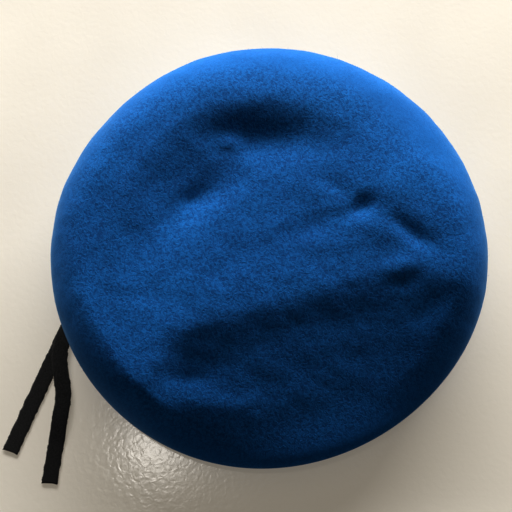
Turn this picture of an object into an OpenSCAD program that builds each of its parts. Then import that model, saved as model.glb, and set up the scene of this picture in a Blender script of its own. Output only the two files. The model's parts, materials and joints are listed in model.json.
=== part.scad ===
// Military-pattern beret lying on its headband, crown up.
// +Z is up, -Y is the wearer's front and +X the wearer's left.
// The origin is the centre of the head opening, in the plane that the headband rests on.

/* [Head size] */
// Inner circumference of the headband
head_circumference = 570; // [540:5:600]

/* [Crown] */
// Outer diameter of the crown, seen from above
crown_d = 270; // [262:1:290]
// Thickness of the milled wool felt
felt_t = 2.2; // [1.8:0.1:2.6]
// Radius of the puffed shoulder above the crown's widest line, in section
shoulder_r = 24; // [16:1:28]
// Radius of the rim below the crown's widest line, in section
rim_r = 14; // [11:0.5:16]
// Slope of the underside from the headband up to the rim, in degrees
underside_rise = 5; // [3:0.5:8]
// Slope of the slack top just inside the rim, in degrees
top_slope = 5.6; // [3:0.1:7]

/* [Headband] */
// Height of the folded leather binding
binding_h = 15; // [14.5:0.5:18]
// Thickness of the binding leather
leather_t = 1; // [0.8:0.1:1.2]
// Width of the opening between the binding's ends, where the draw tape comes out
tape_gap_w = 13; // [13:0.5:16]

/* [Draw tape] */
// Width of the flat woven tape
tape_w = 10; // [8:0.5:10]
// Thickness of the tape
tape_t = 0.8; // [0.6:0.1:0.8]

/* [Lining and stiffener] */
// Thickness of the satin lining
lining_t = 0.4; // [0.3:0.1:0.5]
// Thickness of the badge stiffener
stiffener_t = 0.8; // [0.6:0.1:0.9]
// Arc that the badge stiffener covers, in degrees
stiffener_arc = 38; // [30:1:44]
// Direction of the stiffener's middle from the wearer's front, towards the left, in degrees
badge_angle = 42; // [30:1:50]

/* [Ventilation eyelets] */
// Radius of the air hole
vent_r = 2.5; // [2:0.1:3]
// Distance of the eyelets from the crown's axis
vent_place = 110; // [106:1:114]
// Angle of each eyelet to either side of the wearer's right, in degrees
vent_half_angle = 8; // [6:1:12]

/* [Woven label] */
// Width of the label
label_w = 36; // [24:1:50]
// Depth of the label
label_d = 20; // [14:1:30]

/* [Hidden] */
$fn = 96;
fold_room = 0.1;                         // slack between layers that are sewn together
head_r = head_circumference / (2 * PI);
tunnel_w = 2 * fold_room + felt_t + lining_t + 0.2;
tunnel_in = head_r + leather_t;          // inner wall of the binding's tunnel
tunnel_out = tunnel_in + tunnel_w;
binding_out = tunnel_out + leather_t;
fold_r = 1.2;                            // rounding of the binding's bottom fold
neck_r = tunnel_out - fold_room;         // outer face of the felt where the binding holds it
felt_edge_z = leather_t + tape_w + 0.8;

neck_fillet = 3;
neck_c = [neck_r + neck_fillet, binding_h];
rim_x = crown_d / 2 - rim_r;
under_run = rim_x + rim_r * sin(underside_rise) - neck_c.x + neck_fillet * sin(underside_rise);
rim_c = [
    rim_x,
    neck_c.y + neck_fillet * cos(underside_rise)
        + under_run * tan(underside_rise) + rim_r * cos(underside_rise)
];
shoulder_c = [crown_d / 2 - shoulder_r, rim_c.y];
bowl_r = shoulder_c.x / sin(top_slope);  // the slack top is a wide shallow bowl
top_r = bowl_r - shoulder_r;
top_c = [0, shoulder_c.y + bowl_r * cos(top_slope)];
top_z = top_c.y - top_r;

stiffener_in = felt_t + 0.2;             // depths below the felt's outer face
lining_in = felt_t + 1.4;
lining_out = lining_in + lining_t;
neck_lining_in = felt_t + fold_room;
seam_gap = 1.6;                          // room for the lining's seam, in degrees of the shoulder

thread_r = 0.28;
fine_thread_r = 0.15;
groove_w = 0.8;                          // shallow channel that the binding's stitches lie in
groove_depth = 0.6;
groove_z = binding_h - 2;
tack_arc = 0.9;                          // width of a bar tack, in degrees
tack_t = 0.5;
tack_foot = 3;
tape_mid = (tunnel_in + tunnel_out) / 2;
tape_z = leather_t + 0.1;
tape_exit_x = 4.5;                       // each tail leaves the tunnel on edge, this far from the middle
tape_joint = 0.03;                       // clearance where the band meets a tail

barrel_r = vent_r + 0.5;                 // outer wall of an eyelet's barrel
flange_r = vent_r + 2.7;
washer_t = 0.45;
label_z = top_z - lining_out - 0.06;
label_t = 0.4;
label_seam_inset = 1.5;
label_thread_w = 0.3;

// Route of each tape tail, as [x, y, z, roll]. Roll is 0 on edge and 90 lying flat.
left_route = [
    [tape_exit_x, 92.5, 6.1, 0], [4.5, 95, 6.1, 0], [4.4, 97, 6.1, 0], [4.4, 99, 6, 10],
    [4.3, 101, 5.3, 30], [4.3, 103, 4.1, 50], [4.2, 105, 2.7, 67], [4.2, 107, 1.5, 80],
    [4.2, 109, 0.8, 87], [4.1, 111.5, 0.5, 90], [4, 114.5, 0.5, 90], [3.8, 119.5, 0.5, 90],
    [3.4, 124.3, 0.5, 90], [2.5, 128.9, 0.5, 90], [0.2, 133.1, 0.5, 90], [-3.3, 136.3, 0.5, 90],
    [-11.3, 143.1, 0.5, 90], [-27.3, 156.7, 0.5, 90], [-46.3, 172.9, 0.5, 90], [-65.3, 188.9, 0.5, 90]
];
right_route = [
    [-tape_exit_x, 92.5, 6.1, 0], [-4.4, 97, 6.1, 0], [-4.3, 102, 6.1, 0], [-4.2, 107, 6.1, 0],
    [-4.1, 109.5, 6.1, 10], [-4, 112, 5.7, 30], [-3.9, 114.5, 4.7, 50], [-3.7, 117, 3.6, 67],
    [-3.6, 119, 2.6, 80], [-3.5, 121, 2, 87], [-3.4, 123, 1.8, 90], [-3.2, 126.8, 1.8, 90],
    [-2.9, 131.4, 1.8, 90], [-3.9, 136.2, 1.8, 90], [-8.3, 139.7, 1.8, 90], [-14.3, 142.7, 1.8, 90],
    [-20.3, 144.9, 1.8, 90], [-29.3, 146.5, 1.8, 90], [-38.3, 147.5, 1.8, 90], [-45.3, 149.6, 1.8, 90],
    [-52.3, 152.8, 1.8, 90], [-58.3, 155.6, 1.5, 90], [-64.3, 158.4, 0.9, 90], [-70.3, 161.1, 0.5, 90],
    [-81.3, 166.3, 0.5, 90], [-91.3, 170.9, 0.5, 90]
];

// ---- outlines in section ----

function arc(c, r, from, to, steps) = [
    for (i = [0:steps])
        let (a = from + (to - from) * i / steps)
            [c.x + r * cos(a), c.y + r * sin(a)]
];

function reversed(points) = [for (i = [len(points) - 1:-1:0]) points[i]];

// The underside and rim at a depth below the felt's outer face, from the neck outwards and up.
function side_line(depth, from = 180, to = 90 + top_slope) = concat(
    arc(neck_c, neck_fillet + depth, from, 90 + underside_rise, 6),
    arc(rim_c, rim_r - depth, underside_rise - 90, 0, 12),
    without_first(arc(shoulder_c, shoulder_r - depth, 0, to, 18))
);

// The slack top at a depth, from just inside the rim to the crown's axis.
function top_line(depth) = arc(top_c, top_r + depth, 270 + top_slope, 270, 14);

function without_first(points) = [for (i = [1:len(points) - 1]) points[i]];

// A layer of cloth between an outer and an inner line, as one closed outline.
module layer(outer, inner) {
    polygon(concat(outer, reversed(inner)));
}

// Ring sector round the crown's axis, open by half_gap degrees on either side of the back.
module ring_open_at_back(half_gap) {
    rotate([0, 0, 90 + half_gap])
        rotate_extrude(angle = 360 - 2 * half_gap)
            children();
}

function half_angle(half_width, radius) = asin(half_width / radius);

// Puts a child that is drawn on a level underside onto the crown's sloping underside.
module on_underside(direction) {
    along = vent_place - neck_c.x + neck_fillet * sin(underside_rise);
    height = neck_c.y + neck_fillet * cos(underside_rise) + along * tan(underside_rise);
    rotate([0, 0, direction])
        translate([vent_place, 0, height])
            rotate([0, -underside_rise, 0])
                children();
}

// ---- felt ----

module felt_crown() {
    outer = concat([[neck_r, felt_edge_z]], side_line(0), without_first(top_line(0)));
    inner = concat([[neck_r - felt_t, felt_edge_z]], side_line(felt_t), without_first(top_line(felt_t)));
    color("royalblue")
        difference() {
            rotate_extrude() layer(outer, inner);
            for (side = [-1, 1])
                on_underside(180 + side * vent_half_angle)
                    translate([0, 0, -2])
                        cylinder(r = barrel_r + 0.05, h = felt_t + 4);
        }
}

// ---- headband ----

// Corners of the stitching channel, in the wall that faces away from the leather along side.
function groove(wall_x, side) = [
    for (p = [[0, 0.5], [1, 0.5], [1, -0.5], [0, -0.5]])
        [wall_x + side * p[0] * groove_depth, groove_z + p[1] * groove_w]
];

module headband_binding() {
    wall = concat(
        [[head_r, binding_h]],
        groove(head_r, 1),
        arc([head_r + fold_r, fold_r], fold_r, 180, 270, 6),
        arc([binding_out - fold_r, fold_r], fold_r, 270, 360, 6),
        reversed(groove(binding_out, -1)),
        [[binding_out, binding_h]]
    );
    tunnel = [
        [tunnel_out, binding_h], [tunnel_out, leather_t],
        [tunnel_in, leather_t], [tunnel_in, binding_h]
    ];
    color([0.06, 0.06, 0.06])
        ring_open_at_back(half_angle(tape_gap_w / 2, tape_mid))
            polygon(concat(wall, tunnel));
}

module binding_thread(radius) {
    color([0.1, 0.1, 0.1])
        ring_open_at_back(half_angle(tape_gap_w / 2 + 1, tape_mid))
            translate([radius, groove_z])
                circle(r = thread_r, $fn = 24);
}

module binding_outer_thread() {
    binding_thread(binding_out - groove_depth + thread_r + 0.02);
}

module binding_inner_thread() {
    binding_thread(head_r + groove_depth - thread_r - 0.02);
}

// Short bars of thread that lock the binding's two ends beside the tape opening.
module binding_bar_tacks() {
    start = half_angle(tape_gap_w / 2, tape_mid) + tack_arc;
    color([0.1, 0.1, 0.1])
        for (from = [90 + start, 90 - start - tack_arc])
            rotate([0, 0, from])
                rotate_extrude(angle = tack_arc)
                    translate([binding_out + 0.02, tack_foot])
                        square([tack_t, binding_h - 2 * tack_foot - 1]);
}

// ---- draw tape ----

module draw_tape_band() {
    color([0.05, 0.05, 0.05])
        ring_open_at_back(half_angle(tape_exit_x + tape_t / 2 + tape_joint, tape_mid - tape_t / 2))
            translate([tape_mid - tape_t / 2, tape_z])
                square([tape_t, tape_w]);
}

// Unit direction of a route at one of its points.
function heading(route, i) =
    let (
        a = route[max(i - 1, 0)],
        b = route[min(i + 1, len(route) - 1)],
        d = [b[0] - a[0], b[1] - a[1], b[2] - a[2]]
    )
    d / norm(d);

// Outline across the tape, as [along the width, along the thickness], with its edges bevelled.
tape_section = [
    for (side = [1, -1])
        for (p = [[0.5, -0.25], [0.5, 0.25], [0.46, 0.5], [-0.46, 0.5]])
            [side * p[0] * tape_w, side * p[1] * tape_t]
];

function tape_ring(route, i) =
    let (
        t = heading(route, i),
        level = cross(t, [0, 0, 1]) / norm(cross(t, [0, 0, 1])),
        up = cross(level, t),
        roll = route[i][3],
        width = cos(roll) * up + sin(roll) * level,
        thick = cross(t, width),
        middle = [route[i][0], route[i][1], route[i][2]]
    )
    [for (p = tape_section) middle + p[0] * width + p[1] * thick];

module tape_tail(route) {
    rings = len(route);
    sides = len(tape_section);
    color([0.05, 0.05, 0.05])
        polyhedron(
            points = [for (i = [0:rings - 1]) each tape_ring(route, i)],
            faces = concat(
                [[for (k = [sides - 1:-1:0]) k]],
                [
                    for (i = [0:rings - 2], k = [0:sides - 1])
                        let (next = (k + 1) % sides, at = i * sides)
                            each [
                                [at + k, at + next, at + sides + next],
                                [at + k, at + sides + next, at + sides + k]
                            ]
                ],
                [[for (k = [0:sides - 1]) (rings - 1) * sides + k]]
            )
        );
}

module draw_tape_tail_left() {
    tape_tail(left_route);
}

module draw_tape_tail_right() {
    tape_tail(right_route);
}

// ---- lining ----

module lining_top_panel() {
    color([0.08, 0.08, 0.09])
        rotate_extrude()
            layer(top_line(lining_in), top_line(lining_out));
}

module lining_side_panel() {
    seam = 90 + top_slope - seam_gap;
    neck_from = 150;
    outer = concat(
        [[neck_r - neck_lining_in, felt_edge_z + 0.2], [neck_r - neck_lining_in, binding_h]],
        side_line(lining_in, neck_from, seam)
    );
    inner = concat(
        [
            [neck_r - neck_lining_in - lining_t, felt_edge_z + 0.2],
            [neck_r - neck_lining_in - lining_t, binding_h]
        ],
        side_line(lining_out, neck_from, seam)
    );
    color([0.08, 0.08, 0.09])
        rotate_extrude() layer(outer, inner);
}

module lining_seam_thread() {
    turn = 90 + top_slope - seam_gap / 2;
    at = arc(shoulder_c, shoulder_r - lining_in - lining_t / 2, turn, turn, 1)[0];
    color([0.12, 0.12, 0.12])
        rotate_extrude()
            translate(at)
                circle(r = fine_thread_r, $fn = 24);
}

// ---- badge stiffener ----

module stiffener_sector() {
    rotate([0, 0, 270 + badge_angle - stiffener_arc / 2])
        rotate_extrude(angle = stiffener_arc)
            children();
}

module badge_stiffener() {
    upper_edge = 10;
    color([0.16, 0.15, 0.14])
        stiffener_sector()
            layer(
                side_line(stiffener_in, 130, upper_edge),
                side_line(stiffener_in + stiffener_t, 130, upper_edge)
            );
}

module stiffener_thread() {
    depth = stiffener_in + stiffener_t + fine_thread_r + 0.02;
    at = arc(neck_c, neck_fillet + depth, 100, 100, 1)[0];
    color([0.12, 0.12, 0.12])
        stiffener_sector()
            translate(at)
                circle(r = fine_thread_r, $fn = 24);
}

// ---- ventilation eyelets ----

module vent_eyelet(direction) {
    color([0.09, 0.09, 0.1])
        on_underside(direction)
            rotate_extrude()
                polygon([
                    [vent_r, -0.45], [vent_r + 0.4, -0.7], [flange_r - 0.5, -0.6], [flange_r, -0.05],
                    [barrel_r, -0.05], [barrel_r, felt_t + 0.6], [barrel_r + 0.9, felt_t + 0.6],
                    [barrel_r + 0.7, felt_t + 0.95], [vent_r + 0.3, felt_t + 1], [vent_r, felt_t + 0.8]
                ]);
}

module vent_washer(direction) {
    color([0.09, 0.09, 0.1])
        on_underside(direction)
            translate([0, 0, felt_t + 0.05])
                difference() {
                    cylinder(r = flange_r + 0.3, h = washer_t);
                    translate([0, 0, -1]) cylinder(r = barrel_r + 0.1, h = washer_t + 2);
                }
}

module vent_eyelet_front() {
    vent_eyelet(180 + vent_half_angle);
}

module vent_eyelet_rear() {
    vent_eyelet(180 - vent_half_angle);
}

module vent_washer_front() {
    vent_washer(180 + vent_half_angle);
}

module vent_washer_rear() {
    vent_washer(180 - vent_half_angle);
}

// ---- label ----

module size_label() {
    color([0.75, 0.75, 0.72])
        translate([-label_w / 2, -label_d / 2, label_z - label_t])
            cube([label_w, label_d, label_t]);
}

module size_label_thread() {
    t = label_thread_w;
    frame_w = label_w - 2 * label_seam_inset;
    frame_d = label_d - 2 * label_seam_inset;
    color([0.12, 0.12, 0.12])
        translate([0, 0, label_z - label_t - t / 2 - 0.02])
            difference() {
                cube([frame_w, frame_d, t], center = true);
                cube([frame_w - 2 * t, frame_d - 2 * t, 2 * t], center = true);
            }
}

felt_crown();
headband_binding();
binding_outer_thread();
binding_inner_thread();
binding_bar_tacks();
draw_tape_band();
draw_tape_tail_left();
draw_tape_tail_right();
lining_top_panel();
lining_side_panel();
lining_seam_thread();
badge_stiffener();
stiffener_thread();
vent_eyelet_front();
vent_eyelet_rear();
vent_washer_front();
vent_washer_rear();
size_label();
size_label_thread();
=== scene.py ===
import json
import math

import bpy
import numpy as np
from mathutils import Matrix, Vector, noise


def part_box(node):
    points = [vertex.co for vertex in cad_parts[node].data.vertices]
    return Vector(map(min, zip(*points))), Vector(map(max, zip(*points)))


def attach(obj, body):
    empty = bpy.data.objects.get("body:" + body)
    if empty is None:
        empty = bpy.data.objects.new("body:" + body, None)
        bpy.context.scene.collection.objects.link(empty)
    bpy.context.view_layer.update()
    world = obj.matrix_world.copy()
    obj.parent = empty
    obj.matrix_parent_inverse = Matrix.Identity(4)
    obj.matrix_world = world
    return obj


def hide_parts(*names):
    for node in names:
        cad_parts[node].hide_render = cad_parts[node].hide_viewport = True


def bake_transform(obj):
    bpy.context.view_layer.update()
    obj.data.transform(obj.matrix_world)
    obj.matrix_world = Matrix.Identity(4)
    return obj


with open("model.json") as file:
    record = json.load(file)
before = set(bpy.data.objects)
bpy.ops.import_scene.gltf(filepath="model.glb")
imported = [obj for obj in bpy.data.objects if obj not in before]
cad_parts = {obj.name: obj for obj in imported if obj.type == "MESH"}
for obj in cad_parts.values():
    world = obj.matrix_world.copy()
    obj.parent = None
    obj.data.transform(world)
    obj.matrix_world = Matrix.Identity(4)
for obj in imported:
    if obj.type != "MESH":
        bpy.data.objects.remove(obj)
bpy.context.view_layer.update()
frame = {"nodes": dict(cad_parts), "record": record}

# Everything below is worked out in millimetres and turned into metres when a piece is made.
MM = 0.001


def mm(vector):
    """A place from the frame, in millimetres."""
    return np.array(vector) / MM


# ---- sizes from the frame ----

felt_low, felt_high = (mm(corner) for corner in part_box("felt_crown"))
binding_high = mm(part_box("headband_binding")[1])
head_mount = next(m for m in frame["record"]["mounts"] if m["name"] == "head_opening")

crown_r = felt_high[0]
head_r = head_mount["dims"]["r_mm"]
binding_r = binding_high[0]
binding_h = binding_high[2]
leather_t = 1.0
felt_t = 2.2
neck_r = binding_r - leather_t - 0.1     # outer face of the felt where the binding holds it
neck_fillet = 3.0
underside_rise = math.radians(5)
rim_r = 14.0                             # section radius of the rim below the widest line
tape_w = 10.0
tape_t = 0.8
tape_mid = (head_r + binding_r) / 2      # middle of the tape tunnel
tape_z = 6.1
tape_lies_z = 0.5                        # middle of the tape where it lies on the table
gap_half = math.asin(6.5 / tape_mid)     # half of the tape opening in the binding, as an angle
eyelet_hole_r = 3.6

underside_start = neck_r + neck_fillet - neck_fillet * math.sin(underside_rise)
underside_start_z = binding_h + neck_fillet * math.cos(underside_rise)
widest_z = (
    underside_start_z
    + (crown_r - rim_r + rim_r * math.sin(underside_rise) - underside_start) * math.tan(underside_rise)
    + rim_r * math.cos(underside_rise)
)

# ---- the viewer's directions ----
# The crown's relief is described as somebody at the camera sees it: right, and away from them.

VIEW_AZIMUTH = math.radians(252)
VIEW_ELEVATION = math.radians(75)
RIGHT = np.array([math.cos(VIEW_AZIMUTH), math.sin(VIEW_AZIMUTH)])
AWAY = np.array([-math.sin(VIEW_AZIMUTH), math.cos(VIEW_AZIMUTH)])


def seen_from_camera(x, y):
    """How far right and how far away a place on the crown is."""
    return x * RIGHT[0] + y * RIGHT[1], x * AWAY[0] + y * AWAY[1]


def make_camera():
    distance = 0.65
    aim_left, aim_down = 0.0075, 0.0043
    middle = Vector((0, 0, widest_z * MM))
    back = Vector((
        math.sin(VIEW_AZIMUTH) * math.cos(VIEW_ELEVATION),
        -math.cos(VIEW_AZIMUTH) * math.cos(VIEW_ELEVATION),
        math.sin(VIEW_ELEVATION),
    ))
    right = Vector((RIGHT[0], RIGHT[1], 0))
    up = back.cross(right)
    aim = middle - right * aim_left - up * aim_down
    camera = bpy.data.objects.new("camera", bpy.data.cameras.new("camera"))
    camera.data.lens = 74
    camera.data.sensor_width = 36
    turn = Matrix((right, up, back)).transposed().to_4x4()
    camera.matrix_world = Matrix.Translation(aim + back * distance) @ turn
    bpy.context.scene.collection.objects.link(camera)
    bpy.context.scene.camera = camera


# ---- mesh helpers ----

def make_piece(name, points, faces, material):
    """A smooth mesh object from points in millimetres."""
    mesh = bpy.data.meshes.new(name)
    mesh.from_pydata((np.asarray(points) * MM).tolist(), [], [list(map(int, f)) for f in faces])
    mesh.validate()
    mesh.update()
    mesh.shade_smooth()
    mesh.materials.append(material)
    piece = bpy.data.objects.new(name, mesh)
    bpy.context.scene.collection.objects.link(piece)
    return piece


def ring_faces(rings, sides, first=0, closed_round=True, flip=False):
    """Quads between consecutive rings of the same number of points."""
    columns = sides if closed_round else sides - 1
    i, k = np.meshgrid(np.arange(rings - 1), np.arange(columns), indexing="ij")
    k_next = (k + 1) % sides
    near, far = i * sides, (i + 1) * sides
    quads = np.stack([near + k, near + k_next, far + k_next, far + k], -1).reshape(-1, 4) + first
    return quads[:, ::-1] if flip else quads


def tube_faces(rings, sides, first=0):
    """Faces of a tube of rings, closed at both ends."""
    start = list(range(first, first + sides))
    end = [point + (rings - 1) * sides for point in start]
    return ring_faces(rings, sides, first).tolist() + [start[::-1], end]


def closed_layer(outer, inner, quads):
    """Points and faces of a closed layer between two copies of one grid of quads."""
    total = len(outer)
    edges = np.vstack([quads[:, [k, (k + 1) % 4]] for k in range(4)])
    forward = edges[:, 0] * total + edges[:, 1]
    border = edges[~np.isin(forward, edges[:, 1] * total + edges[:, 0])]
    closing = np.stack([border[:, 1], border[:, 0], border[:, 0] + total, border[:, 1] + total], -1)
    return np.vstack([outer, inner]), np.vstack([quads, quads[:, ::-1] + total, closing])


def vertex_normals(points, faces):
    """Area-weighted normals of a quad mesh."""
    a, b, c, d = (points[faces[:, k]] for k in range(4))
    face_normals = np.cross(c - a, d - b)
    normals = np.zeros_like(points)
    for k in range(4):
        np.add.at(normals, faces[:, k], face_normals)
    return normals / np.maximum(np.linalg.norm(normals, axis=1, keepdims=True), 1e-12)


def smooth_noise(points, size, seed):
    """Noise between about -1 and 1 that changes over a distance of size, at points in millimetres."""
    shift = Vector((seed * 17.3, seed * 5.9, seed * 9.1))
    return np.array([noise.noise(Vector(p) / size + shift) for p in points])


def smooth_path(points, spacing):
    """A smooth curve through points, resampled at about that spacing."""
    p = np.asarray(points, float)
    ghost = np.vstack([2 * p[0] - p[1], p, 2 * p[-1] - p[-2]])
    curve = [p[0]]
    for i in range(1, len(ghost) - 2):
        a, b, c, d = ghost[i - 1:i + 3]
        steps = max(2, int(round(np.linalg.norm((c - b)[:3]) / spacing)))
        t = np.arange(1, steps + 1)[:, None] / steps
        straight = 2 * b + (c - a) * t
        bend = (2 * a - 5 * b + 4 * c - d) * t**2
        change = (3 * b - a - 3 * c + d) * t**3
        curve.extend(0.5 * (straight + bend + change))
    return np.array(curve)


# ---- materials ----

class Shader:
    """A Principled material whose nodes are added a few at a time."""

    def __init__(self, name, **sockets):
        self.material = bpy.data.materials.new(name)
        self.material.use_nodes = True
        self.tree = self.material.node_tree
        self.surface = self.tree.nodes["Principled BSDF"]
        self.place = self.add("ShaderNodeTexCoord").outputs["Object"]
        for socket, value in sockets.items():
            self.surface.inputs[socket.replace("_", " ").title()].default_value = value

    def add(self, kind, **settings):
        node = self.tree.nodes.new(kind)
        for key, value in settings.items():
            if hasattr(node, key):
                setattr(node, key, value)
            else:
                node.inputs[key.replace("_", " ").title()].default_value = value
        return node

    def link(self, source, target):
        self.tree.links.new(source, target)

    def feed(self, value, socket):
        """Give a socket another node's output, or a constant."""
        if isinstance(value, bpy.types.NodeSocket):
            self.link(value, socket)
        else:
            socket.default_value = value

    def noise(self, size, detail=2.0, roughness=0.5, distortion=0.0, stretch=(1, 1, 1)):
        """Noise whose grains are about that many millimetres across, from 0 to 1."""
        mapping = self.add("ShaderNodeMapping")
        mapping.inputs["Scale"].default_value = [s / (size * MM) for s in stretch]
        self.link(self.place, mapping.inputs["Vector"])
        settings = {"detail": detail, "roughness": roughness, "distortion": distortion}
        node = self.add("ShaderNodeTexNoise", scale=1.0, **settings)
        self.link(mapping.outputs["Vector"], node.inputs["Vector"])
        return node.outputs["Fac"]

    def ramp(self, source, stops):
        """Colours along a value, as [(place, colour), ...]."""
        node = self.add("ShaderNodeValToRGB")
        elements = node.color_ramp.elements
        while len(elements) < len(stops):
            elements.new(0.5)
        for element, (place, colour) in zip(elements, stops):
            element.position = place
            element.color = (*colour, 1)
        self.link(source, node.inputs["Fac"])
        return node.outputs["Color"]

    def mix(self, factor, a, b, blend="MIX"):
        node = self.add("ShaderNodeMix", data_type="RGBA", blend_type=blend)
        for value, socket in ((factor, node.inputs[0]), (a, node.inputs[6]), (b, node.inputs[7])):
            self.feed(value, socket)
        return node.outputs[2]

    def maths(self, operation, a, b):
        node = self.add("ShaderNodeMath", operation=operation)
        for value, socket in ((a, node.inputs[0]), (b, node.inputs[1])):
            self.feed(value, socket)
        return node.outputs[0]

    def bump(self, height, strength, depth, below=None):
        """Relief of that depth in millimetres, over the relief below it."""
        node = self.add("ShaderNodeBump", strength=strength, distance=depth * MM)
        self.link(height, node.inputs["Height"])
        if below is not None:
            self.link(below, node.inputs["Normal"])
        return node.outputs["Normal"]

    def attribute(self, name):
        return self.add("ShaderNodeAttribute", attribute_name=name).outputs["Fac"]

    def colour(self, source):
        self.link(source, self.surface.inputs["Base Color"])

    def roughness(self, source):
        self.link(source, self.surface.inputs["Roughness"])

    def normal(self, source):
        self.link(source, self.surface.inputs["Normal"])


def felt_material():
    """Milled wool with a brushed nap: pebbly on the slack top, with painted shade in the pebbles' hollows
    and painted light on their tops, smooth where it is pulled over the rim.
    """
    s = Shader("wool_felt", roughness=0.92)
    s.surface.inputs["Specular IOR Level"].default_value = 0.12
    s.surface.inputs["Sheen Weight"].default_value = 0.28
    s.surface.inputs["Sheen Roughness"].default_value = 0.45
    s.surface.inputs["Sheen Tint"].default_value = (0.35, 0.68, 1.0, 1)
    pebbles = s.noise(1.7, detail=2.0, roughness=0.6, distortion=0.8)
    fibres = s.noise(0.4, detail=3.0, roughness=0.65, distortion=0.6)
    patches = s.noise(38, detail=2.0)
    nap = s.attribute("nap")
    cloth = s.ramp(patches, [(0.3, (0.0078, 0.114, 0.378)), (0.7, (0.0094, 0.134, 0.430))])
    # Painted shade and light of the pebbles: their hollows are painted darker and their tops lighter,
    # following the same noise as the bump.
    pebble_light_and_shade = s.ramp(pebbles, [(0.37, (0.42, 0.44, 0.50)), (0.60, (1.26, 1.24, 1.18))])
    strand = s.ramp(fibres, [(0.35, (0.80, 0.82, 0.86)), (0.68, (1.22, 1.18, 1.12))])
    # The painted pebble shade is mixed into the cloth colour, most where the nap is pebbly.
    cloth_with_painted_pebble_shade = s.mix(s.maths("MULTIPLY", nap, 0.7), cloth, s.mix(1.0, cloth, pebble_light_and_shade, "MULTIPLY"))
    s.colour(s.mix(1.0, cloth_with_painted_pebble_shade, strand, "MULTIPLY"))
    relief = s.maths("MULTIPLY", pebbles, nap)
    s.normal(s.bump(fibres, 0.3, 0.2, below=s.bump(relief, 0.6, 0.5)))
    return s.material


def leather_material():
    s = Shader("binding_leather")
    s.surface.inputs["Specular IOR Level"].default_value = 0.4
    grain = s.add("ShaderNodeTexVoronoi", feature="DISTANCE_TO_EDGE")
    grain.inputs["Scale"].default_value = 1 / (0.9 * MM)
    s.link(s.place, grain.inputs["Vector"])
    creases = s.noise(4.0, detail=4.0, distortion=0.6)
    s.colour(s.ramp(creases, [(0.3, (0.006, 0.006, 0.0065)), (0.75, (0.018, 0.0175, 0.018))]))
    s.roughness(s.ramp(creases, [(0.3, (0.34, 0.34, 0.34)), (0.8, (0.55, 0.55, 0.55))]))
    pores = s.bump(grain.outputs["Distance"], 0.45, 0.25)
    s.normal(s.bump(creases, 0.3, 0.5, below=pores))
    return s.material


def tape_material():
    """Flat woven tape: the weave comes from the relief, and faint grey fibres stand on it."""
    s = Shader("woven_tape", roughness=0.85)
    s.surface.inputs["Specular IOR Level"].default_value = 0.25
    s.surface.inputs["Sheen Weight"].default_value = 0.12
    s.surface.inputs["Sheen Roughness"].default_value = 0.5
    fuzz = s.noise(0.9, detail=4.0, roughness=0.7)
    s.colour(s.ramp(fuzz, [(0.38, (0.002, 0.002, 0.002)), (0.70, (0.020, 0.0195, 0.019))]))
    s.normal(s.bump(fuzz, 0.5, 0.3))
    return s.material


def thread_material():
    s = Shader("black_thread", roughness=0.6)
    s.surface.inputs["Specular IOR Level"].default_value = 0.4
    twist = s.noise(0.3, detail=2.0, distortion=0.5)
    s.colour(s.ramp(twist, [(0.35, (0.008, 0.008, 0.009)), (0.7, (0.03, 0.03, 0.032))]))
    s.normal(s.bump(twist, 0.5, 0.1))
    return s.material


def satin_material():
    s = Shader("lining_satin", roughness=0.36)
    s.surface.inputs["Sheen Weight"].default_value = 0.3
    s.surface.inputs["Sheen Roughness"].default_value = 0.3
    ribs = s.noise(0.35, detail=1.0, stretch=(1, 0.08, 1))
    folds = s.noise(9.0, detail=3.0, distortion=0.8)
    s.colour(s.ramp(folds, [(0.3, (0.008, 0.008, 0.009)), (0.7, (0.02, 0.02, 0.023))]))
    s.normal(s.bump(ribs, 0.35, 0.1, below=s.bump(folds, 0.3, 0.8)))
    return s.material


def enamel_material():
    s = Shader("black_eyelet")
    s.surface.inputs["Coat Weight"].default_value = 0.4
    s.surface.inputs["Coat Roughness"].default_value = 0.15
    wear = s.noise(0.8, detail=4.0, roughness=0.7)
    s.colour(s.ramp(wear, [(0.5, (0.008, 0.008, 0.009)), (0.85, (0.05, 0.045, 0.04))]))
    s.roughness(s.ramp(wear, [(0.4, (0.28, 0.28, 0.28)), (0.8, (0.5, 0.5, 0.5))]))
    s.normal(s.bump(wear, 0.2, 0.08))
    return s.material


def board_material():
    s = Shader("stiffener_board", roughness=0.8)
    weave = s.noise(0.8, detail=1.0, stretch=(1, 0.2, 1))
    s.colour(s.ramp(weave, [(0.35, (0.02, 0.019, 0.018)), (0.7, (0.05, 0.047, 0.043))]))
    s.normal(s.bump(weave, 0.5, 0.3))
    return s.material


def label_material():
    s = Shader("label_cloth", roughness=0.7)
    weave = s.noise(0.35, detail=1.0, stretch=(1, 0.15, 1))
    s.colour(s.ramp(weave, [(0.35, (0.46, 0.46, 0.43)), (0.7, (0.62, 0.62, 0.59))]))
    s.normal(s.bump(weave, 0.5, 0.12))
    return s.material


def table_material():
    """Cream table covering with a faint leather grain and a soft gloss.

    It gives off a little light, which stands for the room's light in the beret's shadow.
    """
    s = Shader("table_cream")
    s.surface.inputs["Specular IOR Level"].default_value = 0.5
    grain = s.noise(3.4, detail=1.2, distortion=0.5)
    tone = s.noise(90, detail=2.0)
    s.surface.inputs["Emission Color"].default_value = (1.0, 0.88, 0.70, 1)
    s.surface.inputs["Emission Strength"].default_value = 0.22
    s.colour(s.ramp(tone, [(0.3, (0.64, 0.615, 0.56)), (0.7, (0.69, 0.665, 0.605))]))
    s.roughness(s.ramp(tone, [(0.3, (0.14, 0.14, 0.14)), (0.7, (0.18, 0.18, 0.18))]))
    s.normal(s.bump(grain, 0.25, 0.25))
    return s.material


# ---- draw tape ----
# Route of each tail, as [x, y, z, roll] in millimetres: roll is 0 on edge and 90 lying flat.

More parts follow.
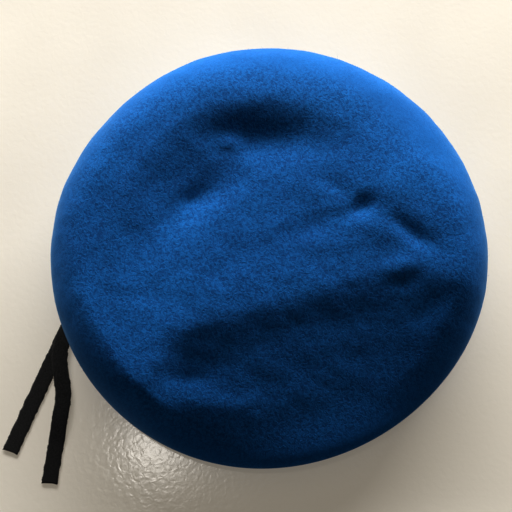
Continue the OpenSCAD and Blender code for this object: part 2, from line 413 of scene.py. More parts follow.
LEFT_ROUTE = [
    [4.5, 92.5, 6.1, 0], [4.5, 95, 6.1, 0], [4.4, 97, 6.1, 0], [4.4, 99, 6, 10],
    [4.3, 101, 5.3, 30], [4.3, 103, 4.1, 50], [4.2, 105, 2.7, 67], [4.2, 107, 1.5, 80],
    [4.2, 109, 0.8, 87], [4.1, 111.5, 0.5, 90], [4, 114.5, 0.5, 90], [3.8, 119.5, 0.5, 90],
    [3.4, 124.3, 0.5, 90], [2.5, 128.9, 0.5, 90], [0.2, 133.1, 0.5, 90], [-3.3, 136.3, 0.5, 90],
    [-11.3, 143.1, 0.5, 90], [-27.3, 156.7, 0.5, 90], [-46.3, 172.9, 0.5, 90], [-65.3, 188.9, 0.5, 90],
]
RIGHT_ROUTE = [
    [-4.5, 92.5, 6.1, 0], [-4.4, 97, 6.1, 0], [-4.3, 102, 6.1, 0], [-4.2, 107, 6.1, 0],
    [-4.1, 109.5, 6.1, 10], [-4, 112, 5.7, 30], [-3.9, 114.5, 4.7, 50], [-3.7, 117, 3.6, 67],
    [-3.6, 119, 2.6, 80], [-3.5, 121, 2, 87], [-3.4, 123, 1.8, 90], [-3.2, 126.8, 1.8, 90],
    [-2.9, 131.4, 1.8, 90], [-3.9, 136.2, 1.8, 90], [-8.3, 139.7, 1.8, 90], [-14.3, 142.7, 1.8, 90],
    [-20.3, 144.9, 1.8, 90], [-29.3, 146.5, 1.8, 90], [-38.3, 147.5, 1.8, 90], [-45.3, 149.6, 1.8, 90],
    [-52.3, 152.8, 1.8, 90], [-58.3, 155.6, 1.5, 90], [-64.3, 158.4, 0.9, 90], [-70.3, 161.1, 0.5, 90],
    [-81.3, 166.3, 0.5, 90], [-91.3, 170.9, 0.5, 90],
]
TAPE_START = math.radians(6.5)           # where the tails take over from the tape in the tunnel
WEAVE_PITCH = 1.5
PICOT = 0.045                            # loops and waves of the edges, as shares of half the width
EDGE_WAVE = 0.10


def along_path(curve):
    """Distance along a curve at each of its points."""
    return np.concatenate([[0], np.cumsum(np.linalg.norm(np.diff(curve[:, :3], axis=0), axis=1))])


def tape_strip(curve, seed):
    """Points and faces of a woven tape that follows a curve of [x, y, z, roll]."""
    middle, roll = curve[:, :3], np.radians(curve[:, 3])
    heading = np.gradient(middle, axis=0)
    heading /= np.linalg.norm(heading, axis=1, keepdims=True)
    level = np.cross(heading, [0, 0, 1])
    level /= np.linalg.norm(level, axis=1, keepdims=True)
    up = np.cross(level, heading)
    width = np.cos(roll)[:, None] * up + np.sin(roll)[:, None] * level
    thick = np.cross(heading, width)
    distance = along_path(curve)
    columns = 15
    across = np.concatenate([np.linspace(1, -1, columns), np.linspace(-1, 1, columns)])
    side = np.concatenate([np.ones(columns), -np.ones(columns)])
    weave = 2 * math.pi * distance / WEAVE_PITCH
    loops = PICOT * np.sin(weave + 2 * smooth_noise(middle, 5, seed))
    one_edge = 1 + loops + EDGE_WAVE * smooth_noise(middle, 2.2, seed)
    other_edge = 1 - loops + EDGE_WAVE * smooth_noise(middle, 2.2, seed + 1)
    edge = np.where(across[None, :] > 0, one_edge[:, None], other_edge[:, None])
    w = across[None, :] * 0.5 * tape_w * edge
    rounding = np.sqrt(np.clip(1 - across**6, 0, 1)) * 0.42 + 0.06
    cord_rows = 0.5 + 0.5 * np.cos(across[None, :] * 7 * math.pi) * np.cos(weave)[:, None]
    h = side[None, :] * tape_t * rounding[None, :] * (0.86 + 0.14 * cord_rows)
    points = middle[:, None, :] + w[..., None] * width[:, None, :] + h[..., None] * thick[:, None, :]
    cut_line = 0.6 * across**2 + 0.2 * (1 + across)
    points[-1] += cut_line[:, None] * heading[-1]
    return points.reshape(-1, 3), tube_faces(len(middle), len(across))


def around(radius, angle, z=0.0):
    """A point at an angle from the back, towards the wearer's left."""
    return [radius * math.sin(angle), radius * math.cos(angle), z]


def make_tail(name, route, side, node, seed):
    """One tail: out of its end of the tunnel, round the corner, and along its route."""
    in_tunnel = [[*around(tape_mid, side * TAPE_START * t, tape_z), 0] for t in (1, 0.85, 0.7)]
    rounding_out = [
        [side * 5.3, tape_mid + 0.45, tape_z, 0],
        [side * 4.65, tape_mid + 1.5, tape_z, 0],
    ]
    rest = [p for p in route if p[1] > tape_mid + 2]
    curve = smooth_path(in_tunnel + rounding_out + rest, spacing=0.5)
    curve[:, 2] = np.maximum(curve[:, 2], tape_lies_z)
    points, faces = tape_strip(curve, seed)
    tail = make_piece(name, points, faces, materials["woven_tape"])
    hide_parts(node)
    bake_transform(tail)


def make_tape_loop():
    """The length of tape that stays in the binding's tunnel."""
    angles = np.linspace(TAPE_START, 2 * math.pi - TAPE_START, 720)
    curve = np.array([[*around(tape_mid, a, tape_z), 0] for a in angles])
    points, faces = tape_strip(curve, seed=3)
    loop = make_piece("draw_tape_loop", points, faces, materials["woven_tape"])
    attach(loop, "beret")
    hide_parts("draw_tape_band")


# ---- felt crown ----
# Soft bulges and hollows of the slack top, as the viewer sees them:
# [right, away, half-length, half-width, turn of the long axis in degrees, height], in millimetres.

RELIEF = [
    [-6, 65, 24, 9, -8, -2.8],           # long hollow inside the far rim
    [-41, 27, 20, 8, 42, -3.1],          # hollow that runs from it to the left
    [-52, 42, 16, 9, 20, -0.8],
    [-48, 27, 8, 4.5, 25, -1.2],
    [-23, 62, 5, 3.5, 0, 1.4],           # small knob on its edge
    [45, 42, 30, 18, 0, 1.6],
    [82, 30, 20, 15, -20, 2.0],
    [57, 21, 7, 4.2, 30, -2.0],          # short folds on the right
    [44, 33, 12, 4, -35, -0.7],
    [87, 5, 11, 4.2, -36, -1.9],
    [64, 10, 14, 5, -20, 0.7],
    [80, -24, 6, 3.2, 10, -0.9],
    [80, -15, 8, 4.5, 15, 0.8],
    [99, -38, 10, 5, 40, -1.0],
    [24, 8, 13, 5, 20, -0.9],
    [-17, -9, 14, 7, 30, -0.6],
    [-38, -98, 22, 7, -6, 1.3],          # ledge on the near slope
    [6, -92, 24, 6, 12, 0.5],
    [-38, -74, 15, 7, 8, -1.5],
    [-49, -81, 9, 3.2, -2, -0.9],
    [49, -42, 22, 7, 15, -0.4],
    [-14, -58, 34, 8, 12, -0.9],
]
NEAR_SAG = 16.0                          # how much lower the rim lies on the viewer's side
NEAR_THINNING = 6.0                      # how much smaller the rim's section is there
LEAST_RISE = 6.0                         # the top stays about this far above the widest line
DISC_R = 58.0                            # the grid is square inside this radius and ring-shaped outside it
LINING_SEAM_R = 106.0
SHOULDER_LENGTH = 42                     # about how far the cloth runs over each stretch
RIM_LENGTH = 20
UNDERSIDE_LENGTH = 24
TOP_Z = 51.8                             # height of the slack top at its middle
CREST_R = 93.0                           # highest line of the crown, inside the far rim
SLACK_FALL = math.tan(math.radians(3.5))   # slopes towards the viewer, before and after the long fold
FOLD_FALL = math.tan(math.radians(15))


def smooth_step(t):
    t = np.clip(t, 0, 1)
    return t * t * (3 - 2 * t)


def smooth_max(a, b, softness):
    return softness * np.logaddexp(a / softness, b / softness)


def bulges(right, away):
    """Height that the relief adds at some places."""
    total = np.zeros_like(right)
    for at_right, at_away, length, width, turn, height in RELIEF:
        c, s = math.cos(math.radians(turn)), math.sin(math.radians(turn))
        along = (right - at_right) * c + (away - at_away) * s
        across = (away - at_away) * c - (right - at_right) * s
        total += height * np.exp(-0.5 * ((along / length) ** 2 + (across / width) ** 2))
    return total


def around_direction(angle, middle, spread):
    """1 at a direction of the viewer's, in degrees, fading to 0 away from it."""
    gap = (np.degrees(angle) - middle + 180) % 360 - 180
    return np.exp(-0.5 * (gap / spread) ** 2)


def outline_r(angle):
    """Radius of the crown's outline in a direction of the viewer's."""
    front_to_back = math.radians(18)
    slack = 1.8 * around_direction(angle, 138, 16) + 2.2 * around_direction(angle, 295, 25)
    slack -= 1.9 * around_direction(angle, 346, 16)
    return crown_r - 1.6 * np.sin(angle - front_to_back) ** 2 - slack


def shoulder_width(angle):
    """How far in from the outline the crown starts to round down."""
    return (
        25
        + 19 * around_direction(angle, 40, 14)
        + 17 * around_direction(angle, 82, 22)
        + 4 * around_direction(angle, 118, 14)
        - 5 * around_direction(angle, 275, 35)
    )


def nearness(angle):
    """0 on the far side of the crown and 1 on the viewer's side."""
    return smooth_step(0.35 - 0.6 * np.sin(angle))


def top_height(right, away):
    """Height of the slack top, before the shoulder rounds it off."""
    angle, radius = np.arctan2(away, right), np.hypot(right, away)
    crest = 5.0 * around_direction(angle, 92, 28) + 5.0 * around_direction(angle, 145, 25)
    inside = np.minimum(radius - CREST_R, 0)
    outside = np.maximum(radius - CREST_R, 0)
    ring = crest * np.exp(-0.5 * (inside / 15) ** 2) - 0.12 * around_direction(angle, 160, 30) * outside
    fold_line = -39 + 0.3 * right - 0.006 * np.maximum(right - 60, 0) ** 2
    fold_line -= 22 * smooth_step((-48 - right) / 28)
    beyond = fold_line - away
    fall = SLACK_FALL * smooth_max(beyond + 28, 0, 8) + (FOLD_FALL - SLACK_FALL) * smooth_max(beyond, 0, 3)
    return TOP_Z + 0.03 * away + ring - fall + bulges(right, away)


def disc_grid(n):
    """Points of a square grid bent onto the unit disc, its quads, and the indices round its edge."""
    t = np.linspace(-1, 1, n + 1)
    u, v = np.meshgrid(t, t, indexing="xy")
    x, y = u * np.sqrt(1 - v**2 / 2), v * np.sqrt(1 - u**2 / 2)
    index = np.arange((n + 1) ** 2).reshape(n + 1, n + 1)
    quads = np.stack([index[:-1, :-1], index[:-1, 1:], index[1:, 1:], index[1:, :-1]], -1).reshape(-1, 4)
    edge = np.concatenate([index[0, :-1], index[:-1, -1], index[-1, :0:-1], index[:0:-1, 0]])
    return np.stack([x.ravel(), y.ravel()], -1), quads, edge


class Skin:
    """A grid over the crown's outer face: a disc on the top, then rings down to the felt's edge."""

    def __init__(self, cells, spacing):
        disc, self.disc_quads, edge = disc_grid(cells)
        self.disc = disc * DISC_R
        self.edge = edge
        self.turn = np.arctan2(self.disc[edge, 1], self.disc[edge, 0])
        self.rings = []
        self.sides = len(edge)
        self.last_ring = {}
        self.add_rings(spacing)
        self.place_points()

    def add_ring(self, radius, z):
        x, y = radius * np.cos(self.turn), radius * np.sin(self.turn)
        self.rings.append(np.stack([x, y, z + x * 0], -1))

    def rise_at(self, radius, widest):
        """Height of the slack top above the widest line, which never gets too small."""
        top = top_height(*seen_from_camera(radius * np.cos(self.turn), radius * np.sin(self.turn)))
        return smooth_max(top - widest, LEAST_RISE, 1.5)

    def add_rings(self, spacing):
        right, away = seen_from_camera(np.cos(self.turn), np.sin(self.turn))
        angle = np.arctan2(away, right)
        outer, shoulder, near = outline_r(angle), shoulder_width(angle), nearness(angle)
        widest, low_r = widest_z - NEAR_SAG * near, rim_r - NEAR_THINNING * near
        flat_r = outer - shoulder

        for t in fractions(LINING_SEAM_R - DISC_R, spacing):
            radius = DISC_R + t * (LINING_SEAM_R - DISC_R)
            rounding = np.sqrt(1 - (np.clip(radius - flat_r, 0, None) / shoulder) ** 2)
            self.add_ring(radius, widest + self.rise_at(radius, widest) * rounding)
        self.last_ring["seam"] = len(self.rings)

        first_tilt = np.arcsin(np.clip(LINING_SEAM_R - flat_r, 0, None) / shoulder)
        for t in fractions(SHOULDER_LENGTH, spacing):
            tilt = first_tilt + t * (0.5 * math.pi - first_tilt)
            radius = flat_r + shoulder * np.sin(tilt)
            self.add_ring(radius, widest + self.rise_at(radius, widest) * np.cos(tilt))
        self.last_ring["widest"] = len(self.rings)

        for t in fractions(RIM_LENGTH, spacing):
            tilt = t * (0.5 * math.pi - underside_rise)
            self.add_ring(outer - low_r + low_r * math.cos(tilt), widest - low_r * math.sin(tilt))
        rim_end = outer - low_r + low_r * math.sin(underside_rise)
        rim_end_z = widest - low_r * math.cos(underside_rise)
        drop = rim_end_z - underside_height(rim_end)
        self.last_ring["rim"] = len(self.rings)

        waves = np.sin(46 * self.turn + 2 * np.sin(5 * self.turn))
        for t in fractions(UNDERSIDE_LENGTH, spacing):
            radius = rim_end + t * (underside_start - rim_end)
            pucker = 0.3 * waves * np.exp((underside_start - radius) / 9)
            z = underside_height(radius) + drop * smooth_step(1 - 3.6 * t)
            self.add_ring(radius, z + pucker * smooth_step(3 * (1 - t)))
        self.last_ring["underside"] = len(self.rings)

        for t in (0.25, 0.5, 0.75, 1.0):
            tilt = underside_rise + t * (0.5 * math.pi - underside_rise)
            radius = neck_r + neck_fillet * (1 - math.sin(tilt))
            self.add_ring(radius, binding_h + neck_fillet * math.cos(tilt))
        for z in (binding_h - 1.6, felt_low[2]):
            self.add_ring(neck_r, z)

    def place_points(self):
        right, away = seen_from_camera(self.disc[:, 0], self.disc[:, 1])
        top = np.column_stack([self.disc, top_height(right, away)])
        points = np.vstack([top, *self.rings])
        column = np.arange(self.sides)
        round_disc = np.stack([
            len(top) + column, len(top) + np.roll(column, -1), np.roll(self.edge, -1), self.edge,
        ], -1)
        between = ring_faces(len(self.rings), self.sides, len(top), flip=True)
        self.quads = np.vstack([self.disc_quads, round_disc, between])
        ring = 1 + np.arange(len(round_disc) + len(between)) // self.sides
        self.ring = np.concatenate([np.zeros(len(self.disc_quads)), ring])
        points = points + vertex_normals(points, self.quads) * lumps(points)[:, None]
        self.points, self.normals = points, vertex_normals(points, self.quads)

    def on_ring(self, values, number):
        """The values at one ring's points."""
        return values[len(self.disc):].reshape(len(self.rings), self.sides, 3)[number]


def lumps(points):
    """Low unevenness of the milled felt, which fades out on the underside."""
    slack = np.clip((points[:, 2] - 24) / 8, 0, 1)
    return slack * (0.38 * smooth_noise(points, 17, 1) + 0.18 * smooth_noise(points, 7, 2))


def fractions(length, spacing):
    """Even steps from just above 0 to 1, about that spacing apart over a length."""
    steps = int(round(length / spacing))
    return np.arange(1, steps + 1) / steps


def underside_height(radius):
    """Height of the felt's lower face, which rises a little towards the rim."""
    return underside_start_z + (radius - underside_start) * math.tan(underside_rise)


def layer_of(skin, keep, outer_depth, inner_depth):
    """A closed layer of cloth between two depths below the skin, over the quads in keep."""
    quads = skin.quads[keep]
    used = np.unique(quads)
    renumber = np.zeros(len(skin.points), int)
    renumber[used] = np.arange(len(used))
    points, normals = skin.points[used], skin.normals[used]
    outer, inner = (
        points - normals * (np.zeros(len(skin.points)) + depth)[used, None]
        for depth in (outer_depth, inner_depth)
    )
    return closed_layer(outer, inner, renumber[quads])


def felt_nap(points):
    """How pebbly the nap is: full on the slack top, little where the felt is pulled over the shoulder."""
    right, away = seen_from_camera(points[:, 0], points[:, 1])
    angle, radius = np.arctan2(away, right), np.hypot(right, away)
    start = outline_r(angle) - shoulder_width(angle) * 0.75
    return 1 - 0.7 * smooth_step((radius - start) / 16)


def make_crown():
    """The felt, with its head opening and the holes of the two eyelets."""
    skin = Skin(cells=104, spacing=1.65)
    centres = skin.points[skin.quads].mean(1)
    keep = np.ones(len(skin.quads), bool)
    for name in ("vent_eyelet_front", "vent_eyelet_rear"):
        eyelet = (mm(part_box(name)[0]) + mm(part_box(name)[1])) / 2
        near_eyelet = np.hypot(centres[:, 0] - eyelet[0], centres[:, 1] - eyelet[1]) < eyelet_hole_r
        keep &= ~(near_eyelet & (skin.ring > skin.last_ring["rim"]))
    points, faces = layer_of(skin, keep, 0, felt_t)
    crown = make_piece("felt_crown_skin", points, faces, materials["wool_felt"])
    nap = crown.data.attributes.new("nap", "FLOAT", "POINT")
    nap.data.foreach_set("value", felt_nap(points).astype(np.float32))
    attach(crown, "beret")
    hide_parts("felt_crown")


FIBRES = 1500
FIBRE_LOWEST_Z = 17.0
FIBRE_LENGTHS = (0.8, 1.8)
STRAY_LENGTH = 4.5
STRAY_PLACE = (44, 124, 38)              # right, away and height of the one long fibre
FIBRE_TAPER = ((0.0, 0.05), (0.35, 0.04), (0.7, 0.03), (1.0, 0.012))   # place along a fibre, radius


def make_fuzz():
    """Short loose fibres on the felt, and one long one on the far rim."""
    skin = Skin(cells=60, spacing=3.0)
    random = np.random.default_rng(7)
    starts = random.choice(np.nonzero(skin.points[:, 2] > FIBRE_LOWEST_Z)[0], FIBRES, replace=False)
    right, away = seen_from_camera(skin.points[:, 0], skin.points[:, 1])
    places = np.column_stack([right, away, skin.points[:, 2]])
    stray = int(np.argmin(np.linalg.norm(places - STRAY_PLACE, axis=1)))
    length = np.append(random.uniform(*FIBRE_LENGTHS, len(starts)), STRAY_LENGTH)
    points, faces = [], []
    for start, size in zip(np.append(starts, stray), length):
        normal = skin.normals[start]
        lean = random.normal(size=3)
        curl = random.normal(size=3) * 0.35
        faces.extend(tube_faces(len(FIBRE_TAPER), 3, first=len(points)))
        for t, thickness in FIBRE_TAPER:
            bend = t * (0.55 * normal + 0.3 * lean) + t * t * curl
            centre = skin.points[start] + size * bend - 0.2 * normal
            for k in range(3):
                turn = 2 * math.pi * k / 3
                outward = np.array([math.cos(turn), math.sin(turn), 0.3 * math.cos(turn)])
                points.append(centre + thickness * outward)
    fuzz = make_piece("felt_crown_fibres", points, faces, materials["wool_felt"])
    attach(fuzz, "beret")


# ---- lining, stiffener and label ----

LINING_OUT = 3.6                         # depths below the felt's outer face
LINING_IN = 4.0
STIFFENER_OUT = 2.4
STIFFENER_IN = 3.2
STIFFENER_ARC = math.radians(38)
STIFFENER_MIDDLE = math.radians(312)


def lining_depth(skin):
    """Depth of the lining's hidden side: it is pulled tight at the neck, and puckers along its seam."""
    radius = np.hypot(skin.points[:, 0], skin.points[:, 1])
    turn = np.arctan2(skin.points[:, 1], skin.points[:, 0])
    ring = np.concatenate([np.zeros(len(skin.disc)), np.repeat(np.arange(len(skin.rings)), skin.sides)])
    to_neck = smooth_step((ring - skin.last_ring["rim"]) / (len(skin.rings) - skin.last_ring["rim"] - 4))
    depth = LINING_OUT - (LINING_OUT - 2.3) * to_neck
    off_seam = np.abs(radius - LINING_SEAM_R)
    on_top = ring < skin.last_ring["widest"]
    puckers = 0.5 + 0.5 * np.sin(58 * turn + 1.5 * np.sin(7 * turn))
    seam_puckers = 0.9 * puckers * np.exp(-off_seam / 7) * smooth_step(off_seam / 2.5) * on_top
    side_waves = 0.5 + 0.5 * np.sin(37 * turn + 2 * np.sin(4 * turn))
    side_folds = 1.2 * side_waves * ~on_top * smooth_step(1 - to_neck)
    side_folds *= smooth_step((ring - skin.last_ring["widest"]) / 4)
    creases = np.clip(smooth_noise(skin.points * [1, 1, 0.2], 13, 5), 0, 1) ** 1.5 * 3.0
    creases *= smooth_step((radius - 26) / 14) * on_top * smooth_step((off_seam - 3) / 8)
    return depth + seam_puckers + side_folds + creases


def make_lining():
    """The lining's two panels, a top and a side, which meet at the seam."""
    skin = Skin(cells=84, spacing=2.0)
    depth = lining_depth(skin)
    thickness = LINING_IN - LINING_OUT
    seam = skin.last_ring["seam"]
    for name, keep, node, flat in (
        ("lining_top_satin", skin.ring <= seam, "lining_top_panel", (0.22, 0.22)),
        ("lining_side_satin", skin.ring > seam, "lining_side_panel", (0.83, 0.10)),
    ):
        points, faces = layer_of(skin, keep, depth, depth + thickness)
        panel = make_piece(name, points, faces, materials["lining_satin"])
        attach(panel, "beret")
        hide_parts(node)
    return skin


def from_badge(turn):
    """Angle from the middle of the badge place, between half a turn back and half a turn on."""
    return (turn - STIFFENER_MIDDLE + math.pi) % (2 * math.pi) - math.pi


def make_stiffener():
    """Board cloth between felt and lining, at the badge place."""
    skin = Skin(cells=60, spacing=2.5)
    last = skin.last_ring["underside"]
    on_rings = (skin.ring > skin.last_ring["widest"] - 2) & (skin.ring <= last)
    turn = np.concatenate([np.zeros(len(skin.disc_quads)), np.tile(skin.turn, len(skin.rings))])
    keep = on_rings & (np.abs(from_badge(turn)) < STIFFENER_ARC / 2)
    points, faces = layer_of(skin, keep, STIFFENER_OUT, STIFFENER_IN)
    board = make_piece("badge_stiffener_board", points, faces, materials["stiffener_board"])
    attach(board, "beret")
    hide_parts("badge_stiffener")

    gap = from_badge(skin.turn)
    order = np.argsort(gap)
    order = order[np.abs(gap[order]) < STIFFENER_ARC / 2 - 0.01]
    inward = -skin.on_ring(skin.normals, last - 1)[order]
    line = skin.on_ring(skin.points, last - 1)[order] + inward * (STIFFENER_IN + 0.12)
    make_stitches("badge_stiffener_stitches", [(line, inward)], 3.0, 0.12, "stiffener_thread")


# Sections of a stitch from end to end: place along it, thickness, and how high its middle stands.
STITCH_SECTIONS = [
    (-0.5, 0.3, -0.9), (-0.46, 0.8, -0.45), (-0.25, 1, 0), (0, 1.05, 0.1),
    (0.25, 1, 0), (0.46, 0.8, -0.45), (0.5, 0.3, -0.9),
]


def make_stitches(name, lines, pitch, radius, node, gap=0.22):
    """Running stitches along lines, each given as its points and the directions it stands out in."""
    sides = 8
    turns = 2 * math.pi * np.arange(sides) / sides
    points, faces = [], []
    for line, out in lines:
        distance = along_path(line)
        count = max(1, int(distance[-1] // pitch))
        for k in range(count):
            middle = (k + 0.5) * distance[-1] / count
            length = distance[-1] / count * (1 - gap)
            places = [middle + length * place for place, _, _ in STITCH_SECTIONS]
            centres = np.stack([np.interp(places, distance, line[:, j]) for j in range(3)], -1)
            up = np.array([np.interp(middle, distance, out[:, j]) for j in range(3)])
            up /= np.linalg.norm(up)
            along = centres[-1] - centres[0]
            along /= np.linalg.norm(along)
            side = np.cross(along, up)
            ring = np.cos(turns)[:, None] * side * 1.15 + np.sin(turns)[:, None] * up
            faces.extend(tube_faces(len(STITCH_SECTIONS), sides, first=len(points) * sides))
            for (_, size, height), centre in zip(STITCH_SECTIONS, centres):
                points.append(centre + radius * (height * up + size * ring))
    thread = make_piece(name, np.vstack(points), faces, materials["black_thread"])
    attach(thread, "beret")
    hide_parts(node)


def make_lining_seam(skin):
    """Stitches that join the lining's two panels."""
    depth = lining_depth(skin) + LINING_IN - LINING_OUT + 0.1
    first = len(skin.disc) + (skin.last_ring["seam"] - 1) * skin.sides
    ring = np.append(np.arange(first, first + skin.sides), first)
    inward = -skin.normals[ring]
    line = skin.points[ring] + inward * depth[ring, None]
    make_stitches("lining_seam_stitches", [(line, inward)], 2.4, 0.16, "lining_seam_thread")


LABEL_W = 36.0
LABEL_D = 20.0
LABEL_T = 0.4
LABEL_GAP = 0.08                         # how far it hangs below the lining


def label_points(x, y, gap):
    """Places under the middle of the lining, that far below its surface."""
    top = top_height(*seen_from_camera(x, y))
    points = np.stack([x, y, top], -1)
    points[:, 2] += lumps(points) - LINING_IN - gap
    return points


def make_label():
    """Blank woven label, with its short ends turned under."""
    across, along = 41, 61
    u, v = np.meshgrid(np.linspace(-1, 1, along), np.linspace(-1, 1, across), indexing="ij")
    corner = 1 - 0.012 * (u * v) ** 2
    x, y = (u * LABEL_W / 2 * corner).ravel(), (v * LABEL_D / 2 * corner).ravel()
    turned = 0.25 * smooth_step((np.abs(x) - LABEL_W / 2 + 4) / 0.8)
    ribs = 0.04 * np.sin(2 * math.pi * x)
    upper = label_points(x, y, LABEL_GAP)
    lower = label_points(x, y, LABEL_GAP + LABEL_T + turned + ribs)
    quads = ring_faces(along, across, closed_round=False, flip=True)
    points, faces = closed_layer(upper, lower, quads)
    label = make_piece("size_label_woven", points, faces, materials["label_cloth"])
    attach(label, "beret")
    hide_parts("size_label")

    w, d = LABEL_W / 2 - 1.5, LABEL_D / 2 - 1.5
    corners = [(-w, -d), (w, -d), (w, d), (-w, d), (-w, -d)]
    t = np.linspace(0, 1, 30)
    down = np.tile([0.0, 0.0, -1.0], (len(t), 1))
    lines = []
    for (x0, y0), (x1, y1) in zip(corners, corners[1:]):
        x, y = x0 + t * (x1 - x0), y0 + t * (y1 - y0)
        lines.append((label_points(x, y, LABEL_GAP + LABEL_T + 0.2), down))
    make_stitches("size_label_stitches", lines, 2.2, 0.15, "size_label_thread")


# ---- headband ----

STITCH_PITCH = 3.2
STITCH_Z = binding_h - 2.0
GROOVE_DEPTH = 0.6


def wall_section(radius, outward, z_from, z_to, count):
    """Points down or up one wall of the binding, with its row of stitching pulled in."""
    z = np.linspace(z_from, z_to, count)
    pulled = GROOVE_DEPTH * np.exp(-(((z - STITCH_Z) / 0.55) ** 4))
    return np.stack([radius - outward * pulled, z], -1)


def quarter(centre_r, centre_z, radius, start, end, count):
    """Points round a quarter of a circle in the binding's section, between two angles in degrees."""
    a = np.radians(np.linspace(start, end, count))
    return np.stack([centre_r + radius * np.cos(a), centre_z + radius * np.sin(a)], -1)


def binding_section():
    """Outline of the folded leather as [radius, height], all the way round."""
    fold, edge = 1.2, 0.35
    top = binding_h - edge
    inner_wall, outer_wall = head_r + leather_t, binding_r - leather_t
    inside_z = leather_t + 0.02
    return np.vstack([
        quarter(binding_r - edge, top, edge, 90, 0, 4),
        wall_section(binding_r, 1, top - 0.1, fold + 0.1, 26),
        quarter(binding_r - fold, fold, fold, 0, -90, 7),
        quarter(head_r + fold, fold, fold, 270, 180, 7),
        wall_section(head_r, -1, fold + 0.1, top - 0.1, 26),
        quarter(head_r + edge, top, edge, 180, 90, 4),
        quarter(inner_wall - edge, top, edge, 90, 0, 3),
        [[inner_wall, 9], [inner_wall, inside_z], [outer_wall, inside_z], [outer_wall, 9]],
        quarter(outer_wall + edge, top, edge, 180, 90, 3),
    ])


def make_binding():
    """Leather binding, which puffs out between its stitches and is a little uneven."""
    section = binding_section()
    stitches = int((2 * math.pi - 2 * gap_half) * binding_r / STITCH_PITCH)
    steps = stitches * 6
    angles = np.linspace(gap_half, 2 * math.pi - gap_half, steps + 1)
    phase = np.linspace(0, stitches, steps + 1) * 2 * math.pi
    near_stitch = np.exp(-(((section[:, 1] - STITCH_Z) / 2.4) ** 2)) * (section[:, 1] < binding_h - 0.2)
    outer_face = (section[:, 0] > binding_r - 0.9) * 1.0
    inner_face = (section[:, 0] < head_r + 0.9) * 1.0
    puff = 0.10 * np.cos(phase)[:, None] * near_stitch[None, :]
    waves = np.sin(9 * angles + 2 * np.sin(5 * angles))[:, None]
    slack = 0.12 * waves * np.sin(np.clip(section[:, 1] / 11, 0, 1) * math.pi)[None, :]
    outer_move = np.minimum(puff - 0.1 + slack, 0) * outer_face
    inner_move = np.maximum(-puff - slack, 0) * inner_face
    radius = section[None, :, 0] + outer_move + inner_move
    points = np.stack([
        radius * np.sin(angles)[:, None], radius * np.cos(angles)[:, None],
        np.broadcast_to(section[None, :, 1], radius.shape),
    ], -1).reshape(-1, 3)
    faces = tube_faces(steps + 1, len(section))
    binding = make_piece("headband_binding_leather", points, faces, materials["binding_leather"])
    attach(binding, "beret")
    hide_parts("headband_binding")

    stitch_angles = np.linspace(gap_half + 0.011, 2 * math.pi - gap_half - 0.011, 900)
    outward = np.array([around(1, a) for a in stitch_angles])
    for name, r, out, node in (
        ("binding_outer_stitches", binding_r - GROOVE_DEPTH + 0.24, outward, "binding_outer_thread"),
        ("binding_inner_stitches", head_r + GROOVE_DEPTH - 0.24, -outward, "binding_inner_thread"),
    ):
        line = outward * r + [0, 0, STITCH_Z]
        make_stitches(name, [(line, out)], STITCH_PITCH, 0.27, node)


def make_bar_tacks():
    """Close rows of short stitches that lock the binding's two ends beside the tape opening."""
    lines = []
    start, width = gap_half + math.radians(0.9), math.radians(0.95)
    for side in (-1, 1):
        for k, z in enumerate(np.linspace(3.1, 10.9, 18)):
            angles = side * (start + width * np.linspace(0, 1, 5))
            lean = 0.15 * (-1) ** k * np.linspace(-1, 1, 5)
            out = np.array([around(1, a) for a in angles])
            height = np.stack([lean * 0, lean * 0, z + lean], -1)
            lines.append((out * (binding_r + 0.12) + height, out))
    make_stitches("binding_bar_tack_stitches", lines, 9, 0.24, "binding_bar_tacks", gap=0)


# ---- stage ----

def make_table():
    """A flat table top that reaches past the picture on every side."""
    half = 4.0
    corners = [(-half, -half, 0), (half, -half, 0), (half, half, 0), (-half, half, 0)]
    mesh = bpy.data.meshes.new("table")
    mesh.from_pydata(corners, [], [(0, 1, 2, 3)])
    mesh.materials.append(table_material())
    table = bpy.data.objects.new("table", mesh)
    table.location.z = -0.0002           # a hair below the binding, so that their faces don't meet
    bpy.context.scene.collection.objects.link(table)


def add_area_light(name, azimuth, elevation, distance, size, power, colour):
    """A soft rectangular light aimed at the crown, at an azimuth in the viewer's directions."""
    a, e = math.radians(azimuth), math.radians(elevation)
    flat = math.cos(a) * RIGHT + math.sin(a) * AWAY
    towards = Vector((flat[0] * math.cos(e), flat[1] * math.cos(e), math.sin(e)))
    light = bpy.data.objects.new(name, bpy.data.lights.new(name, "AREA"))
    light.data.shape = "RECTANGLE"
    light.data.size, light.data.size_y = size
    light.data.energy = power
    light.data.color = colour
    middle = Vector((0, 0, 0.04))
    light.location = middle + towards * distance
    light.rotation_euler = towards.to_track_quat("Z", "Y").to_euler()
    bpy.context.scene.collection.objects.link(light)


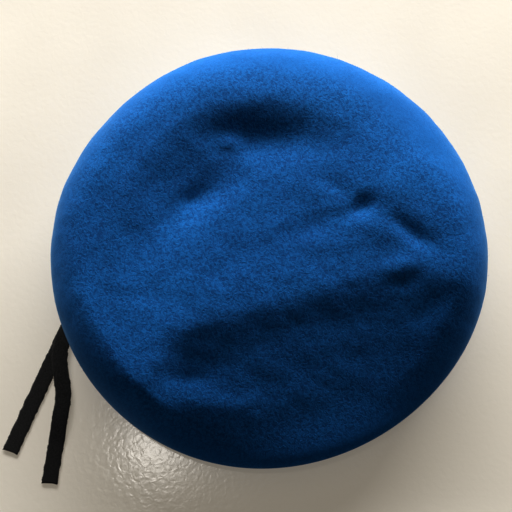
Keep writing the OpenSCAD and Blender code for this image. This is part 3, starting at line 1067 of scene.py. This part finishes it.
def make_light():
    """A low wide window on the far side, a small lamp for the glint on the table, and a dim ceiling."""
    warm = (1.0, 0.96, 0.9)
    add_area_light(
        "window", azimuth=86, elevation=18.2, distance=2.3, size=(3.2, 0.5), power=186,
        colour=(1.0, 0.98, 0.95),
    )
    add_area_light(
        "lamp", azimuth=176, elevation=82, distance=1.6, size=(0.055, 0.065), power=0.8, colour=warm,
    )
    add_area_light(
        "ceiling", azimuth=90, elevation=70, distance=1.6, size=(1.2, 1.2), power=1.5, colour=warm,
    )


def make_room():
    """A room that hardly lights the beret, with a wall that is pale where the camera sees it."""
    world = bpy.data.worlds.new("room")
    world.use_nodes = True
    background = world.node_tree.nodes["Background"]
    background.inputs["Color"].default_value = (1.0, 0.93, 0.82, 1)
    path = world.node_tree.nodes.new("ShaderNodeLightPath")
    strength = world.node_tree.nodes.new("ShaderNodeMapRange")
    strength.inputs["To Min"].default_value = 0.03
    strength.inputs["To Max"].default_value = 0.6
    world.node_tree.links.new(path.outputs["Is Camera Ray"], strength.inputs["Value"])
    world.node_tree.links.new(strength.outputs["Result"], background.inputs["Strength"])
    scene = bpy.context.scene
    scene.world = world
    scene.view_settings.view_transform = "Standard"
    scene.view_settings.gamma = 0.8      # deepens the darks, as the photo does


materials = {
    "wool_felt": felt_material(),
    "binding_leather": leather_material(),
    "black_thread": thread_material(),
    "woven_tape": tape_material(),
    "lining_satin": satin_material(),
    "stiffener_board": board_material(),
    "black_eyelet": enamel_material(),
    "label_cloth": label_material(),
}

for part in frame["record"]["subparts"]:
    node_mesh = frame["nodes"][part["node"]].data
    node_mesh.materials.clear()
    node_mesh.materials.append(materials[part["material_slot"]])

make_camera()
make_tail("tape_tail_left_woven", LEFT_ROUTE, 1, "draw_tape_tail_left", 1)
make_tail("tape_tail_right_woven", RIGHT_ROUTE, -1, "draw_tape_tail_right", 2)
make_tape_loop()
make_crown()
make_fuzz()
lining_skin = make_lining()
make_lining_seam(lining_skin)
make_stiffener()
make_label()
make_binding()
make_bar_tacks()
make_table()
make_light()
make_room()
